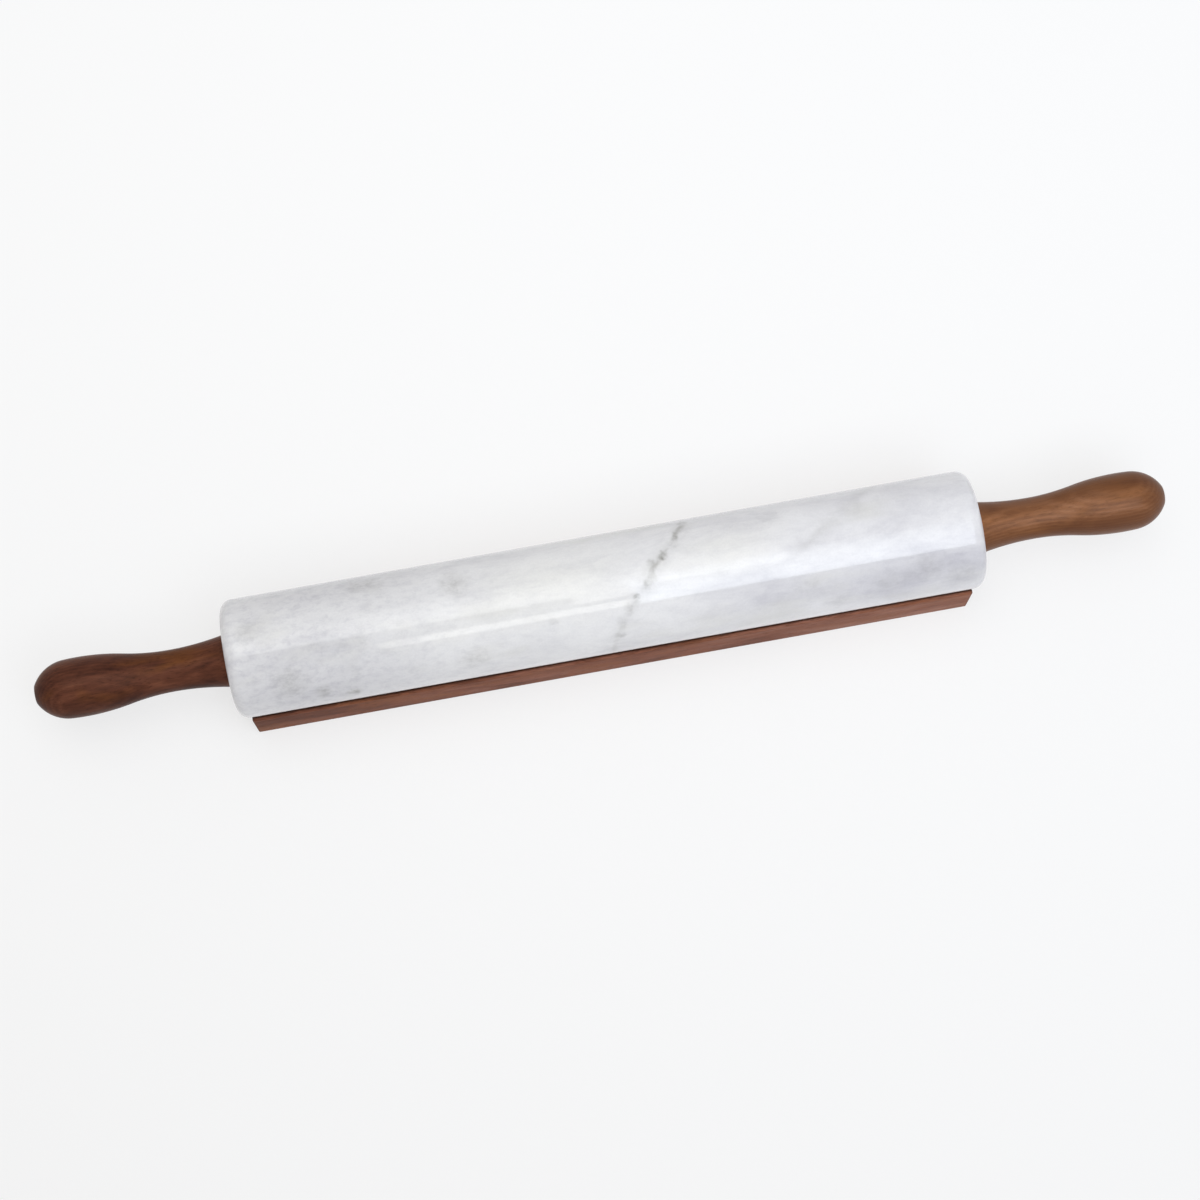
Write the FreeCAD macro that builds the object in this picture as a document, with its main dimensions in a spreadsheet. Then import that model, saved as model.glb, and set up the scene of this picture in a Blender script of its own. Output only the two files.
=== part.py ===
"""Marble rolling pin with turned wooden handles, lying in a wooden cradle.

Millimetres. X runs along the pin, Z points up, and the origin lies under the middle of the cradle, on the
surface that it stands on. The barrel turns on two flanged bushes round a steel axle. The axle's studs screw
into brass inserts in the handles, up to a shoulder, so that the barrel keeps its end play.
"""
import FreeCAD, Part
import math
import os

import Sketcher

# Driving dimensions in millimetres, each a cell of the document's sheet under the same alias.
SIZES = {
    # Stone barrel
    "barrel_length": 380.0,
    "barrel_diameter": 60.0,
    "barrel_edge_radius": 6.5,
    "barrel_bore": 16.0,
    # Flanged bush in each end of the barrel
    "bush_sleeve_length": 25.0,
    "bush_flange_diameter": 24.0,
    "bush_flange_thickness": 2.5,
    "bush_flange_proud": 0.2,
    # Axle through the barrel, turned down to a stud at each end
    "axle_diameter": 10.0,
    "axle_shoulder": 1.0,
    "axle_stud_length": 22.0,
    "axle_chamfer": 0.8,
    # Washer sunk in each handle's base
    "washer_diameter": 20.0,
    "washer_thickness": 1.5,
    # Threaded insert in each handle
    "insert_diameter": 14.0,
    "insert_length": 25.0,
    "insert_bore_relief": 3.0,
    # Turned handle: flared base, waist, bulb and a small flat tip
    "handle_length": 96.5,
    "handle_waist_radius": 10.5,
    "handle_waist_place": 28.0,
    "handle_flare": 2.8,
    "handle_swell": 4.5,
    "handle_bulb_to_tip": 23.0,
    "handle_shoulder_to_tip": 16.0,
    "handle_tip_radius": 4.5,
    "handle_base_rounding": 0.5,
    "handle_tip_rounding": 0.6,
    # Cradle block with a round trough
    "cradle_end_setback": 6.0,
    "cradle_floor": 10.5,
    "cradle_trough_depth": 19.0,
    "cradle_lip": 2.4,
    "cradle_edge_radius": 0.8,
    # Clearances: radial ones are on the radius
    "bearing_clearance": 0.05,
    "washer_clearance": 0.2,
    "glue_gap": 0.05,
    "end_play": 0.3,
    "trough_clearance": 0.3,
}

# Places that several pieces share, written in the sheet's aliases.
AXIS_HEIGHT = "sizes.cradle_floor + sizes.trough_clearance + sizes.barrel_diameter / 2"
BARREL_END = "sizes.barrel_length / 2"
FLANGE_SEAT_DEPTH = "sizes.bush_flange_thickness - sizes.bush_flange_proud"
HANDLE_BASE = "sizes.barrel_length / 2 + sizes.bush_flange_proud + sizes.end_play"
AXLE_SHOULDER = HANDLE_BASE + " + sizes.washer_thickness"
STUD_RADIUS = "sizes.axle_diameter / 2 - sizes.axle_shoulder"

# The most of the cradle's lip that its edge rounding may take, where the lip is made thinner.
LIP_ROUNDING_SHARE = 0.4

# The two ends of the pin: the side's name and its turn about Z, which points a piece's own X outwards.
SIDES = {"left": 180.0, "right": 0.0}

FULL_TURN = 360.0
GEOMETRY_TOLERANCE = 1e-4

# A dimension's value until the sheet sets it.
UNSET = 1.0


def make_sheet(doc):
    """Put every driving dimension in a sheet, one aliased cell each."""
    sheet = doc.addObject("Spreadsheet::Sheet", "sizes")
    for row, (alias, value) in enumerate(SIZES.items(), start=1):
        sheet.set(f"A{row}", alias)
        sheet.set(f"B{row}", str(value))
        sheet.setAlias(f"B{row}", alias)
    doc.recompute()
    return sheet


def new_body(doc, label):
    """Make an empty body whose Label names its piece."""
    body = doc.addObject("PartDesign::Body", label)
    body.Label = label
    return body


def new_sketch(body, name, plane):
    """Attach a new sketch to one of the body's own origin planes."""
    sketch = body.newObject("Sketcher::SketchObject", name)
    support = next(item for item in body.Origin.OriginFeatures if item.Role == plane)
    sketch.AttachmentSupport = [(support, "")]
    sketch.MapMode = "FlatFace"
    return sketch


def bind(sketch, constraint, expression):
    """Add a dimension to a sketch and tie it to the sheet."""
    index = sketch.addConstraint(constraint)
    sketch.setExpression(f"Constraints[{index}]", expression)


def turned_profile(body, corners):
    """Draw a closed outline for turning about X.

    Each corner is a pair of expressions: its place along X and its radius. None puts it on that axis.
    """
    sketch = new_sketch(body, "turned_profile", "XY_Plane")
    count = len(corners)
    start = [FreeCAD.Vector(math.cos(math.tau * k / count), math.sin(math.tau * k / count), 0)
             for k in range(count)]
    for k in range(count):
        sketch.addGeometry(Part.LineSegment(start[k], start[(k + 1) % count]), False)
    for k in range(count):
        sketch.addConstraint(Sketcher.Constraint("Coincident", k, 2, (k + 1) % count, 1))
    for k, (place, radius) in enumerate(corners):
        if place is None:
            sketch.addConstraint(Sketcher.Constraint("PointOnObject", k, 1, -2))
        else:
            bind(sketch, Sketcher.Constraint("DistanceX", -1, 1, k, 1, UNSET), place)
        if radius is None:
            sketch.addConstraint(Sketcher.Constraint("PointOnObject", k, 1, -1))
        else:
            bind(sketch, Sketcher.Constraint("DistanceY", -1, 1, k, 1, UNSET), radius)
    return sketch


def revolve(body, sketch):
    """Turn an outline a full turn about the sketch's X axis."""
    turned = body.newObject("PartDesign::Revolution", "turned")
    turned.Profile = sketch
    turned.ReferenceAxis = (sketch, ["H_Axis"])
    turned.Angle = FULL_TURN
    body.Document.recompute()
    return turned


def circle_edges(feature, place, radius):
    """Name the feature's full circles about X at one place and radius."""
    names = []
    for index, edge in enumerate(feature.Shape.Edges, start=1):
        curve = edge.Curve
        if not isinstance(curve, Part.Circle):
            continue
        same_radius = abs(curve.Radius - radius) < GEOMETRY_TOLERANCE
        same_place = abs(curve.Center.x - place) < GEOMETRY_TOLERANCE
        if same_radius and same_place:
            names.append(f"Edge{index}")
    return names


def round_edges(body, base, names, radius):
    """Round the named edges of a feature with a radius from the sheet."""
    rounding = body.newObject("PartDesign::Fillet", "rounding")
    rounding.Base = (base, names)
    rounding.setExpression("Radius", radius)
    body.Document.recompute()
    return rounding


def place_on_axis(body, place, turn):
    """Stand a turned piece on the pin's axis at a place along X, turned about Z."""
    body.Placement = FreeCAD.Placement(FreeCAD.Vector(), FreeCAD.Rotation(FreeCAD.Vector(0, 0, 1), turn))
    body.setExpression("Placement.Base.x", place)
    body.setExpression("Placement.Base.z", AXIS_HEIGHT)


def place_at_end(body, side, place):
    """Stand a piece at one end of the pin, a place away from the pin's middle."""
    outwards = place if side == "right" else f"-({place})"
    place_on_axis(body, outwards, SIDES[side])


def make_barrel(doc, sheet):
    """The stone barrel, bored through, with a flange seat and a rounded edge at each end."""
    body = new_body(doc, "marble_barrel")
    outside = "sizes.barrel_diameter / 2"
    bore = "sizes.barrel_bore / 2"
    seat = "sizes.bush_flange_diameter / 2 + sizes.glue_gap"
    far_end = "sizes.barrel_length"
    far_seat = f"sizes.barrel_length - ({FLANGE_SEAT_DEPTH})"
    sketch = turned_profile(body, [
        (None, seat), (None, outside), (far_end, outside), (far_end, seat),
        (far_seat, seat), (far_seat, bore), (FLANGE_SEAT_DEPTH, bore), (FLANGE_SEAT_DEPTH, seat),
    ])
    turned = revolve(body, sketch)
    radius = sheet.get("barrel_diameter") / 2
    rims = circle_edges(turned, 0, radius) + circle_edges(turned, sheet.get("barrel_length"), radius)
    round_edges(body, turned, rims, "sizes.barrel_edge_radius")
    place_on_axis(body, f"-{BARREL_END}", 0)
    return body


def make_bushing(doc, side):
    """A flanged bush, its sleeve glued in the barrel's bore and its flange in the seat."""
    body = new_body(doc, f"{side}_bushing")
    bore = "sizes.axle_diameter / 2 + sizes.bearing_clearance"
    sleeve = "sizes.barrel_bore / 2 - sizes.glue_gap"
    flange = "sizes.bush_flange_diameter / 2"
    flange_back = "sizes.bush_sleeve_length"
    flange_face = "sizes.bush_sleeve_length + sizes.bush_flange_thickness"
    sketch = turned_profile(body, [
        (None, bore), (None, sleeve), (flange_back, sleeve),
        (flange_back, flange), (flange_face, flange), (flange_face, bore),
    ])
    revolve(body, sketch)
    place_at_end(body, side, f"{BARREL_END} - ({FLANGE_SEAT_DEPTH}) - sizes.bush_sleeve_length")
    return body


def make_axle(doc):
    """The steel axle: a plain journal between two shoulders, and a chamfered stud beyond each."""
    body = new_body(doc, "axle_rod")
    journal = "sizes.axle_diameter / 2"
    stud_tip = f"{STUD_RADIUS} - sizes.axle_chamfer"
    near_chamfer = "sizes.axle_chamfer"
    near_shoulder = "sizes.axle_stud_length"
    far_shoulder = f"sizes.axle_stud_length + 2 * ({AXLE_SHOULDER})"
    far_end = f"2 * sizes.axle_stud_length + 2 * ({AXLE_SHOULDER})"
    far_chamfer = f"{far_end} - sizes.axle_chamfer"
    sketch = turned_profile(body, [
        (None, None), (None, stud_tip), (near_chamfer, STUD_RADIUS), (near_shoulder, STUD_RADIUS),
        (near_shoulder, journal), (far_shoulder, journal),
        (far_shoulder, STUD_RADIUS), (far_chamfer, STUD_RADIUS), (far_end, stud_tip), (far_end, None),
    ])
    revolve(body, sketch)
    place_on_axis(body, f"-({AXLE_SHOULDER}) - sizes.axle_stud_length", 0)
    return body


def make_washer(doc, side):
    """A flat washer, sunk in the handle's base, that runs against the bush's flange."""
    body = new_body(doc, f"{side}_washer")
    hole = "sizes.axle_diameter / 2 + sizes.washer_clearance"
    rim = "sizes.washer_diameter / 2"
    thickness = "sizes.washer_thickness"
    sketch = turned_profile(body, [(None, hole), (None, rim), (thickness, rim), (thickness, hole)])
    revolve(body, sketch)
    place_at_end(body, side, HANDLE_BASE)
    return body


def make_insert(doc, side):
    """The brass insert in a handle, screwed onto the axle's stud up to the shoulder; threads left plain."""
    body = new_body(doc, f"{side}_handle_insert")
    hole = f"{STUD_RADIUS} + sizes.glue_gap"
    outside = "sizes.insert_diameter / 2"
    length = "sizes.insert_length"
    sketch = turned_profile(body, [(None, hole), (None, outside), (length, outside), (length, hole)])
    revolve(body, sketch)
    place_at_end(body, side, AXLE_SHOULDER)
    return body


def arc_about(centre, first, last):
    """Make the arc about a centre that runs anticlockwise from one point to another."""
    reach = first - centre
    ahead = last - centre
    circle = Part.Circle(centre, FreeCAD.Vector(0, 0, 1), reach.Length)
    return Part.ArcOfCircle(circle, math.atan2(reach.y, reach.x), math.atan2(ahead.y, ahead.x))


def handle_outline(body, sheet):
    """Draw the half outline of a handle: flare, waist, bulb, rounded end and flat tip, all tangent."""
    length = sheet.get("handle_length")
    waist_radius = sheet.get("handle_waist_radius")
    waist_place = sheet.get("handle_waist_place")
    flare = sheet.get("handle_flare")
    swell = sheet.get("handle_swell")
    bulb_place = length - sheet.get("handle_bulb_to_tip")
    shoulder_place = length - sheet.get("handle_shoulder_to_tip")
    tip_radius = sheet.get("handle_tip_radius")

    # The flare meets the waist level, and two equal arcs lead from the waist to the level top of the bulb.
    flare_curve = (waist_place ** 2 + flare ** 2) / (2 * flare)
    bulb_run = bulb_place - waist_place
    bulb_curve = (bulb_run ** 2 + swell ** 2) / (4 * swell)

    origin = FreeCAD.Vector()
    base = FreeCAD.Vector(0, waist_radius + flare, 0)
    waist = FreeCAD.Vector(waist_place, waist_radius, 0)
    crest = FreeCAD.Vector(bulb_place, waist_radius + swell, 0)
    turn = (waist + crest) / 2
    tip = FreeCAD.Vector(length, tip_radius, 0)
    end = FreeCAD.Vector(length, 0, 0)
    flare_centre = waist + FreeCAD.Vector(0, flare_curve, 0)
    waist_centre = waist + FreeCAD.Vector(0, bulb_curve, 0)
    bulb_centre = crest - FreeCAD.Vector(0, bulb_curve, 0)

    # The rounded end leaves the bulb at the shoulder, tangent to it, and passes through the tip's rim.
    shoulder_run = shoulder_place - bulb_place
    shoulder = bulb_centre + FreeCAD.Vector(shoulder_run, math.sqrt(bulb_curve ** 2 - shoulder_run ** 2), 0)
    outwards = (shoulder - bulb_centre) / bulb_curve
    drop = shoulder - tip
    end_curve = drop.dot(drop) / (2 * drop.dot(outwards))
    end_centre = shoulder - outwards * end_curve

    sketch = new_sketch(body, "handle_outline", "XY_Plane")
    base_line = sketch.addGeometry(Part.LineSegment(origin, base), False)
    flare_arc = sketch.addGeometry(arc_about(flare_centre, base, waist), False)
    waist_arc = sketch.addGeometry(arc_about(waist_centre, waist, turn), False)
    bulb_arc = sketch.addGeometry(arc_about(bulb_centre, shoulder, turn), False)
    end_arc = sketch.addGeometry(arc_about(end_centre, tip, shoulder), False)
    tip_line = sketch.addGeometry(Part.LineSegment(tip, end), False)
    axis_line = sketch.addGeometry(Part.LineSegment(end, origin), False)
    crest_point = sketch.addGeometry(Part.Point(crest), True)

    for rule in (
        ("Coincident", base_line, 1, -1, 1),
        ("PointOnObject", base_line, 2, -2),
        ("Coincident", base_line, 2, flare_arc, 1),
        ("Coincident", flare_arc, 2, waist_arc, 1),
        ("Vertical", flare_arc, 3, flare_arc, 2),
        ("Vertical", waist_arc, 3, waist_arc, 1),
        ("Tangent", waist_arc, 2, bulb_arc, 2),
        ("Equal", waist_arc, bulb_arc),
        ("PointOnObject", crest_point, 1, bulb_arc),
        ("Vertical", crest_point, 1, bulb_arc, 3),
        ("Tangent", bulb_arc, 1, end_arc, 2),
        ("Coincident", end_arc, 1, tip_line, 1),
        ("Vertical", tip_line),
        ("PointOnObject", tip_line, 2, -1),
        ("Coincident", tip_line, 2, axis_line, 1),
        ("Coincident", axis_line, 2, -1, 1),
    ):
        sketch.addConstraint(Sketcher.Constraint(*rule))

    bulb_cell = "sizes.handle_length - sizes.handle_bulb_to_tip"
    shoulder_cell = "sizes.handle_length - sizes.handle_shoulder_to_tip"
    for kind, geometry, point, value, expression in (
        ("DistanceY", base_line, 2, base.y, "sizes.handle_waist_radius + sizes.handle_flare"),
        ("DistanceX", flare_arc, 2, waist_place, "sizes.handle_waist_place"),
        ("DistanceY", flare_arc, 2, waist_radius, "sizes.handle_waist_radius"),
        ("DistanceX", crest_point, 1, bulb_place, bulb_cell),
        ("DistanceY", crest_point, 1, crest.y, "sizes.handle_waist_radius + sizes.handle_swell"),
        ("DistanceX", bulb_arc, 1, shoulder_place, shoulder_cell),
        ("DistanceX", tip_line, 1, length, "sizes.handle_length"),
        ("DistanceY", tip_line, 1, tip_radius, "sizes.handle_tip_radius"),
    ):
        bind(sketch, Sketcher.Constraint(kind, -1, 1, geometry, point, value), expression)
    return sketch


def bore_from_base(body, name, radius, depth):
    """Cut a round blind hole into a body from its own YZ plane, along X."""
    sketch = new_sketch(body, f"{name}_circle", "YZ_Plane")
    rim = sketch.addGeometry(Part.Circle(FreeCAD.Vector(), FreeCAD.Vector(0, 0, 1), UNSET), False)
    sketch.addConstraint(Sketcher.Constraint("Coincident", rim, 3, -1, 1))
    bind(sketch, Sketcher.Constraint("Radius", rim, UNSET), radius)
    volume = body.Shape.Volume
    pocket = body.newObject("PartDesign::Pocket", name)
    pocket.Profile = sketch
    pocket.Reversed = True
    pocket.setExpression("Length", depth)
    body.Document.recompute()
    if body.Shape.Volume >= volume:
        raise RuntimeError(f"{body.Label}: {name} removed nothing")
    return pocket


def make_handle(doc, sheet, side):
    """A turned wooden handle with a washer recess and a blind hole for the insert in its base."""
    body = new_body(doc, f"{side}_handle")
    turned = revolve(body, handle_outline(body, sheet))
    base_rim = circle_edges(turned, 0, sheet.get("handle_waist_radius") + sheet.get("handle_flare"))
    eased = round_edges(body, turned, base_rim, "sizes.handle_base_rounding")
    tip_rim = circle_edges(eased, sheet.get("handle_length"), sheet.get("handle_tip_radius"))
    round_edges(body, eased, tip_rim, "sizes.handle_tip_rounding")
    washer_radius = "sizes.washer_diameter / 2 + sizes.glue_gap"
    bore_from_base(body, "washer_recess", washer_radius, "sizes.washer_thickness")
    insert_radius = "sizes.insert_diameter / 2 + sizes.glue_gap"
    insert_depth = "sizes.washer_thickness + sizes.insert_length + sizes.insert_bore_relief"
    bore_from_base(body, "insert_bore", insert_radius, insert_depth)
    place_at_end(body, side, HANDLE_BASE)
    return body


def cradle_section(body, sheet):
    """Draw the cradle's cross-section: a block with a round trough in its top, even about Z."""
    trough_radius = sheet.get("barrel_diameter") / 2 + sheet.get("trough_clearance")
    axis_height = sheet.get("cradle_floor") + trough_radius
    height = sheet.get("cradle_floor") + sheet.get("cradle_trough_depth")
    lip = sheet.get("cradle_lip")
    half_mouth = math.sqrt(trough_radius ** 2 - (axis_height - height) ** 2)
    half_width = half_mouth + lip

    bottom_left = FreeCAD.Vector(-half_width, 0, 0)
    bottom_right = FreeCAD.Vector(half_width, 0, 0)
    top_right = FreeCAD.Vector(half_width, height, 0)
    mouth_right = FreeCAD.Vector(half_mouth, height, 0)
    mouth_left = FreeCAD.Vector(-half_mouth, height, 0)
    top_left = FreeCAD.Vector(-half_width, height, 0)
    trough_centre = FreeCAD.Vector(0, axis_height, 0)

    sketch = new_sketch(body, "cradle_section", "YZ_Plane")
    underside = sketch.addGeometry(Part.LineSegment(bottom_left, bottom_right), False)
    back = sketch.addGeometry(Part.LineSegment(bottom_right, top_right), False)
    back_lip = sketch.addGeometry(Part.LineSegment(top_right, mouth_right), False)
    trough = sketch.addGeometry(arc_about(trough_centre, mouth_left, mouth_right), False)
    front_lip = sketch.addGeometry(Part.LineSegment(mouth_left, top_left), False)
    front = sketch.addGeometry(Part.LineSegment(top_left, bottom_left), False)

    for rule in (
        ("Coincident", underside, 2, back, 1),
        ("Coincident", back, 2, back_lip, 1),
        ("Coincident", back_lip, 2, trough, 2),
        ("Coincident", trough, 1, front_lip, 1),
        ("Coincident", front_lip, 2, front, 1),
        ("Coincident", front, 2, underside, 1),
        ("Horizontal", underside),
        ("Symmetric", underside, 1, underside, 2, -1, 1),
        ("Vertical", back),
        ("Vertical", front),
        ("Equal", back, front),
        ("Horizontal", back_lip),
        ("Horizontal", front_lip),
        ("PointOnObject", trough, 3, -2),
    ):
        sketch.addConstraint(Sketcher.Constraint(*rule))

    height_cell = "sizes.cradle_floor + sizes.cradle_trough_depth"
    trough_cell = "sizes.barrel_diameter / 2 + sizes.trough_clearance"
    bind(sketch, Sketcher.Constraint("DistanceX", back_lip, 2, back_lip, 1, lip), "sizes.cradle_lip")
    bind(sketch, Sketcher.Constraint("DistanceY", back, 1, back, 2, height), height_cell)
    bind(sketch, Sketcher.Constraint("DistanceY", -1, 1, trough, 3, axis_height), AXIS_HEIGHT)
    bind(sketch, Sketcher.Constraint("Radius", trough, trough_radius), trough_cell)
    return sketch


def make_cradle(doc, sheet):
    """The wooden cradle, its section carried along X, with every edge eased."""
    body = new_body(doc, "cradle")
    block = body.newObject("PartDesign::Pad", "block")
    block.Profile = cradle_section(body, sheet)
    block.SideType = "Symmetric"
    block.setExpression("Length", "sizes.barrel_length - 2 * sizes.cradle_end_setback")
    doc.recompute()
    edges = [f"Edge{index}" for index in range(1, len(block.Shape.Edges) + 1)]
    eased = f"min(sizes.cradle_edge_radius; sizes.cradle_lip * {LIP_ROUNDING_SHARE})"
    round_edges(body, block, edges, eased)
    return body


def check(doc, bodies):
    """Stop if any object failed, or a piece isn't one valid solid."""
    for item in doc.Objects:
        if "Invalid" in item.State or "Error" in item.State:
            raise RuntimeError(f"{item.Label} failed: {item.State}")
    for body in bodies:
        shape = body.Shape
        if shape.isNull() or not shape.isValid() or len(shape.Solids) != 1:
            raise RuntimeError(f"{body.Label} isn't one valid solid")


def main():
    """Build the document, check it and write one STEP file for each piece."""
    doc = FreeCAD.newDocument("rolling_pin")
    sheet = make_sheet(doc)
    bodies = [make_barrel(doc, sheet), make_axle(doc), make_cradle(doc, sheet)]
    for side in SIDES:
        bodies.append(make_bushing(doc, side))
        bodies.append(make_washer(doc, side))
        bodies.append(make_insert(doc, side))
        bodies.append(make_handle(doc, sheet, side))
    doc.recompute()
    check(doc, bodies)
    os.makedirs("parts", exist_ok=True)
    for body in bodies:
        body.Shape.exportStep(f"parts/{body.Label}.step")
        box = body.Shape.optimalBoundingBox(False)
        print(f"{body.Label}: volume {body.Shape.Volume:.1f} mm3, "
              f"x {box.XMin:.2f} to {box.XMax:.2f}, z {box.ZMin:.2f} to {box.ZMax:.2f}")


main()
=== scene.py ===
"""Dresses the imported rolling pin: polished marble barrel, turned wooden handles and a wooden cradle.

Metres. X runs along the pin, Z points up and the cradle stands on the floor at Z 0. The barrel, the handles
and the cradle are modelled here in place of the CAD solids. The bushes, the axle, the washers and the
inserts stay as the CAD solids and get finer materials.
"""
from __future__ import annotations

import logging
import math
from dataclasses import dataclass
from enum import Enum
from typing import Callable, Sequence, Union

import bmesh
import bpy
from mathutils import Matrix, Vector


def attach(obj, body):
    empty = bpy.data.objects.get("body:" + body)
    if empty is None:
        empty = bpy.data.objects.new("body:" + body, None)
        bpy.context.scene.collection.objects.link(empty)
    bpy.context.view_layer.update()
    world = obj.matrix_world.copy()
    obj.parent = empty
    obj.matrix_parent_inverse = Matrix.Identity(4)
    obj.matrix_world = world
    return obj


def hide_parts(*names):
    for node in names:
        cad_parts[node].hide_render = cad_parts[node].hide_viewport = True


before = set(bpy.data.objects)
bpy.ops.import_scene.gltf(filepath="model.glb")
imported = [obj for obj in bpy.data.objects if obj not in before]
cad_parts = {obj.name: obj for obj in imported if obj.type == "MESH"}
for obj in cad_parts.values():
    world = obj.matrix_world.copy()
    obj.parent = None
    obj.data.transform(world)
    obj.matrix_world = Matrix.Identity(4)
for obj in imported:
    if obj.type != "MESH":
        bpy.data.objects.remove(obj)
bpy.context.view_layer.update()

LOG = logging.getLogger("rolling_pin")
MM = 0.001

# The pin's axis, its height above the floor, and how near two places count as one
PIN_AXIS = Vector((1.0, 0.0, 0.0))
AXIS_HEIGHT = 40.8 * MM
TOUCH = 0.01 * MM

Colour = tuple[float, float, float]
Point = tuple[float, float, float]
Span = tuple[float, float]
Socket = bpy.types.NodeSocket
Sockets = bpy.types.bpy_prop_collection
Feed = Union[float, Sequence[float], Socket]


class Side(Enum):
    """The two ends of the pin, and the way along X that each one points."""

    LEFT = -1.0
    RIGHT = 1.0

    def node(self, name: str) -> str:
        """The CAD node of that name at this end."""
        return f"{self.name.lower()}_{name}"


class Turning(Enum):
    """Which way the tool marks of a turned piece run, as the output of their group is named."""

    AROUND = "Around"
    FACED = "Faced"


def srgb(red: int, green: int, blue: int) -> Colour:
    """Turn a screen colour into the linear one that shaders take.

    Args:
        red, green, blue: The colour's parts, from 0 to 255.

    Returns:
        The same colour in linear light.
    """
    full, toe, toe_slope, offset, power = 255, 0.04045, 12.92, 0.055, 2.4

    def linear(part: int) -> float:
        """One part of the colour in linear light."""
        share = part / full
        return share / toe_slope if share <= toe else ((share + offset) / (1 + offset)) ** power

    return linear(red), linear(green), linear(blue)


def rgba(colour: Colour) -> tuple[float, float, float, float]:
    """A colour with full cover, as colour sockets take it."""
    return (*colour, 1.0)


# Modelling


class Outline:
    """A line of vertices, drawn point by point in edit mode, then turned or drawn out into a piece."""

    MERGE = 1e-6

    def __init__(self, name: str, start: Vector, normal: Vector) -> None:
        """Start a piece as one vertex, and stay in edit mode.

        Args:
            name: The piece's name.
            start: The line's first point.
            normal: What the plane that holds the line faces.
        """
        bpy.ops.object.select_all(action="DESELECT")
        bpy.ops.mesh.primitive_plane_add(size=MM, location=start)
        self.piece = bpy.context.object
        self.piece.name = name
        self.piece.data.name = name
        bpy.ops.object.transform_apply(location=True, rotation=True, scale=True)
        bpy.ops.object.mode_set(mode="EDIT")
        bpy.ops.mesh.select_mode(type="VERT")
        bpy.ops.mesh.select_all(action="SELECT")
        bpy.ops.mesh.merge(type="CENTER")
        self.end = start
        self.normal = normal

    def line_to(self, point: Vector) -> None:
        """Draw a straight edge to a point."""
        bpy.ops.mesh.extrude_vertices_move(TRANSFORM_OT_translate={"value": point - self.end})
        self.end = point

    def arc_to(self, centre: Vector, point: Vector, steps: int) -> None:
        """Draw an arc to a point by spinning the last vertex, the short way round.

        The spin operator turns clockwise about its axis, so the angle's sign is changed.

        Args:
            centre: The arc's centre.
            point: Where the arc ends.
            steps: How many edges it has.
        """
        first, last = self.end - centre, point - centre
        angle = math.atan2(self.normal.dot(first.cross(last)), first.dot(last))
        bpy.ops.mesh.spin(steps=steps, angle=-angle, center=centre, axis=self.normal)
        self.end = point

    def turn(self, steps: int) -> None:
        """Turn the line once round the pin's axis.

        Args:
            steps: How many faces go round.
        """
        bpy.ops.mesh.select_all(action="SELECT")
        bpy.ops.mesh.spin(steps=steps, angle=math.tau, center=(0, 0, AXIS_HEIGHT), axis=PIN_AXIS)
        self.close()

    def draw_out(self, run: Vector) -> None:
        """Fill the line as a face and extrude it.

        Args:
            run: How far the face goes, and which way.
        """
        self.merge()
        bpy.ops.mesh.edge_face_add()
        bpy.ops.mesh.extrude_region_move(TRANSFORM_OT_translate={"value": run})
        self.close()

    def merge(self) -> None:
        """Select the whole piece and merge the vertices that lie together."""
        bpy.ops.mesh.select_all(action="SELECT")
        bpy.ops.mesh.remove_doubles(threshold=self.MERGE)

    def close(self) -> None:
        """Merge the seam and the poles, and point every face outwards."""
        self.merge()
        bpy.ops.mesh.normals_make_consistent(inside=False)

    def bevel(self, wanted: Callable[[bmesh.types.BMEdge], bool], radius: float, segments: int) -> None:
        """Round the edges that pass a test.

        Args:
            wanted: Says whether an edge is rounded.
            radius: The rounding's radius.
            segments: How many faces it has across.
        """
        mesh = bmesh.from_edit_mesh(self.piece.data)
        bpy.ops.mesh.select_mode(type="EDGE")
        bpy.ops.mesh.select_all(action="DESELECT")
        for edge in mesh.edges:
            edge.select = wanted(edge)
        mesh.select_flush_mode()
        bmesh.update_edit_mesh(self.piece.data)
        bpy.ops.mesh.bevel(offset=radius, offset_type="OFFSET", segments=segments, affect="EDGES")

    def finish(self, smooth_angle: float) -> bpy.types.Object:
        """Leave edit mode and shade the piece smooth, apart from its sharp edges.

        Args:
            smooth_angle: The angle between faces past which an edge stays sharp.

        Returns:
            The finished piece.
        """
        bpy.ops.object.mode_set(mode="OBJECT")
        bpy.ops.object.shade_smooth_by_angle(angle=smooth_angle)
        self.piece.select_set(False)
        return self.piece


def on_circle(edge: bmesh.types.BMEdge, place: float, radius: float) -> bool:
    """Say whether an edge lies on a circle about the pin's axis.

    Args:
        edge: The edge.
        place: The circle's place along X.
        radius: Its radius.

    Returns:
        True where both ends are on the circle.
    """
    middle = Vector((place, 0.0, AXIS_HEIGHT))
    offs = [vertex.co - middle for vertex in edge.verts]
    return all(abs(off.x) < TOUCH and abs(off.length - radius) < TOUCH for off in offs)


def install(piece: bpy.types.Object, node: str, body: str, slot: str) -> None:
    """Put a finished piece in the place of its CAD node.

    Args:
        piece: The modelled piece.
        node: The CAD node that it stands for.
        body: The CAD body that it rides on.
        slot: Not used.
    """
    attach(piece, body)
    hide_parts(node)
    LOG.info("%s: %d faces, in place of %s, rides on %s", piece.name, len(piece.data.polygons), node, body)


def dress(piece: bpy.types.Object, material: bpy.types.Material) -> None:
    """Give a piece or a CAD node one material all over.

    Args:
        piece: The piece or node.
        material: The material.
    """
    if piece.material_slots:
        for held in piece.material_slots:
            held.material = material
    else:
        piece.data.materials.append(material)


# Shader nodes


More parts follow.
